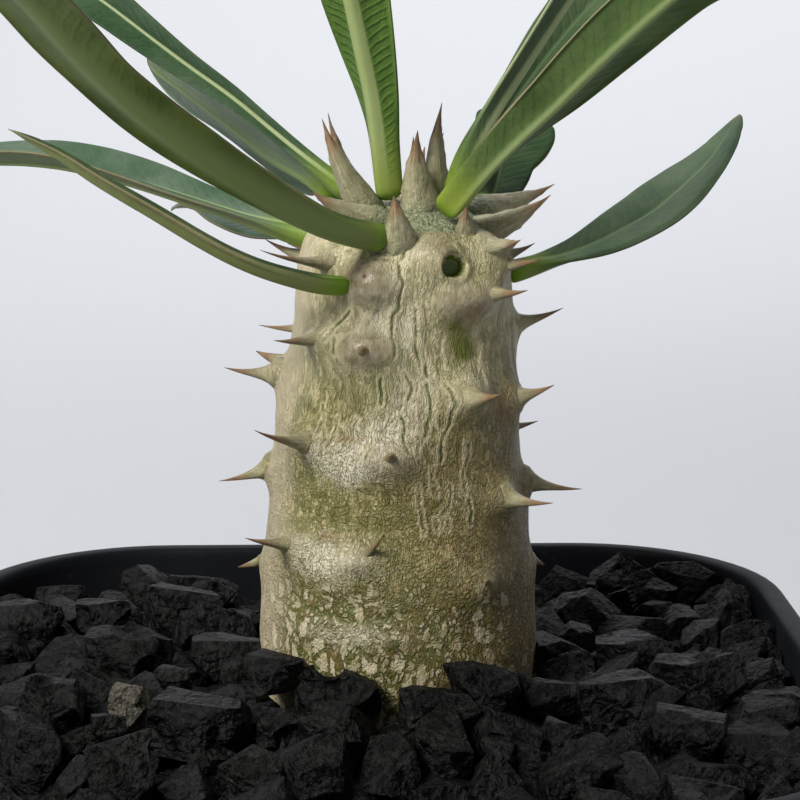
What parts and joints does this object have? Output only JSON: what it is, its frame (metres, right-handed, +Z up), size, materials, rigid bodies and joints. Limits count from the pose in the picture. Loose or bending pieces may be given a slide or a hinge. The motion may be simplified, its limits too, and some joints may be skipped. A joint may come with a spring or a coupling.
{
  "type": "potted pachypodium",
  "caption": "Spiny bottle-shaped succulent stem with a crown of long leathery leaves, in a square black nursery pot topped with crushed black stone.",
  "frame": {"origin": "centre of the pot's flat underside", "axes": "+Z up along the pot's axis; -Y is the plant's best side, the one that faces the viewer"},
  "size_m": [0.0962, 0.096, 0.1769],
  "materials": {
    "pot": "satin black moulded plastic",
    "soil": "dark crumbly growing mix",
    "gravel_layer": "crushed charcoal-black stone",
    "loose_stone": "crushed charcoal-black stone with worn grey edges",
    "stem": "beige-green living bark with a silvery sheen",
    "leaf_a": "leathery semi-gloss green leaf",
    "leaf_b": "leathery semi-gloss green leaf",
    "leaf_c": "leathery semi-gloss green leaf",
    "leaf_d": "leathery semi-gloss green leaf",
    "leaf_e": "leathery semi-gloss green leaf",
    "leaf_f": "leathery semi-gloss green leaf",
    "leaf_g": "leathery semi-gloss green leaf",
    "leaf_h": "leathery semi-gloss green leaf",
    "leaf_i": "leathery semi-gloss green leaf",
    "leaf_j": "leathery semi-gloss green leaf",
    "leaf_k": "leathery semi-gloss green leaf",
    "leaf_l": "leathery semi-gloss green leaf"
  },
  "bodies": {
    "root": {"pot": "pot", "soil": "soil", "gravel_layer": "gravel_layer", "stone_01": "loose_stone", "stone_02": "loose_stone", "stone_03": "loose_stone", "stone_04": "loose_stone", "stone_05": "loose_stone", "stone_06": "loose_stone", "stone_07": "loose_stone", "stone_08": "loose_stone", "stone_09": "loose_stone", "stone_10": "loose_stone", "stone_11": "loose_stone", "stone_12": "loose_stone", "stone_13": "loose_stone", "stone_14": "loose_stone", "stone_15": "loose_stone", "stone_16": "loose_stone", "stone_17": "loose_stone", "stone_18": "loose_stone", "stone_19": "loose_stone", "stone_20": "loose_stone", "stone_21": "loose_stone", "stone_22": "loose_stone", "stone_23": "loose_stone", "stem": "stem", "leaf_a": "leaf_a", "leaf_b": "leaf_b", "leaf_c": "leaf_c", "leaf_d": "leaf_d", "leaf_e": "leaf_e", "leaf_f": "leaf_f", "leaf_g": "leaf_g", "leaf_h": "leaf_h", "leaf_i": "leaf_i", "leaf_j": "leaf_j", "leaf_k": "leaf_k", "leaf_l": "leaf_l"}
  },
  "joints": []
}
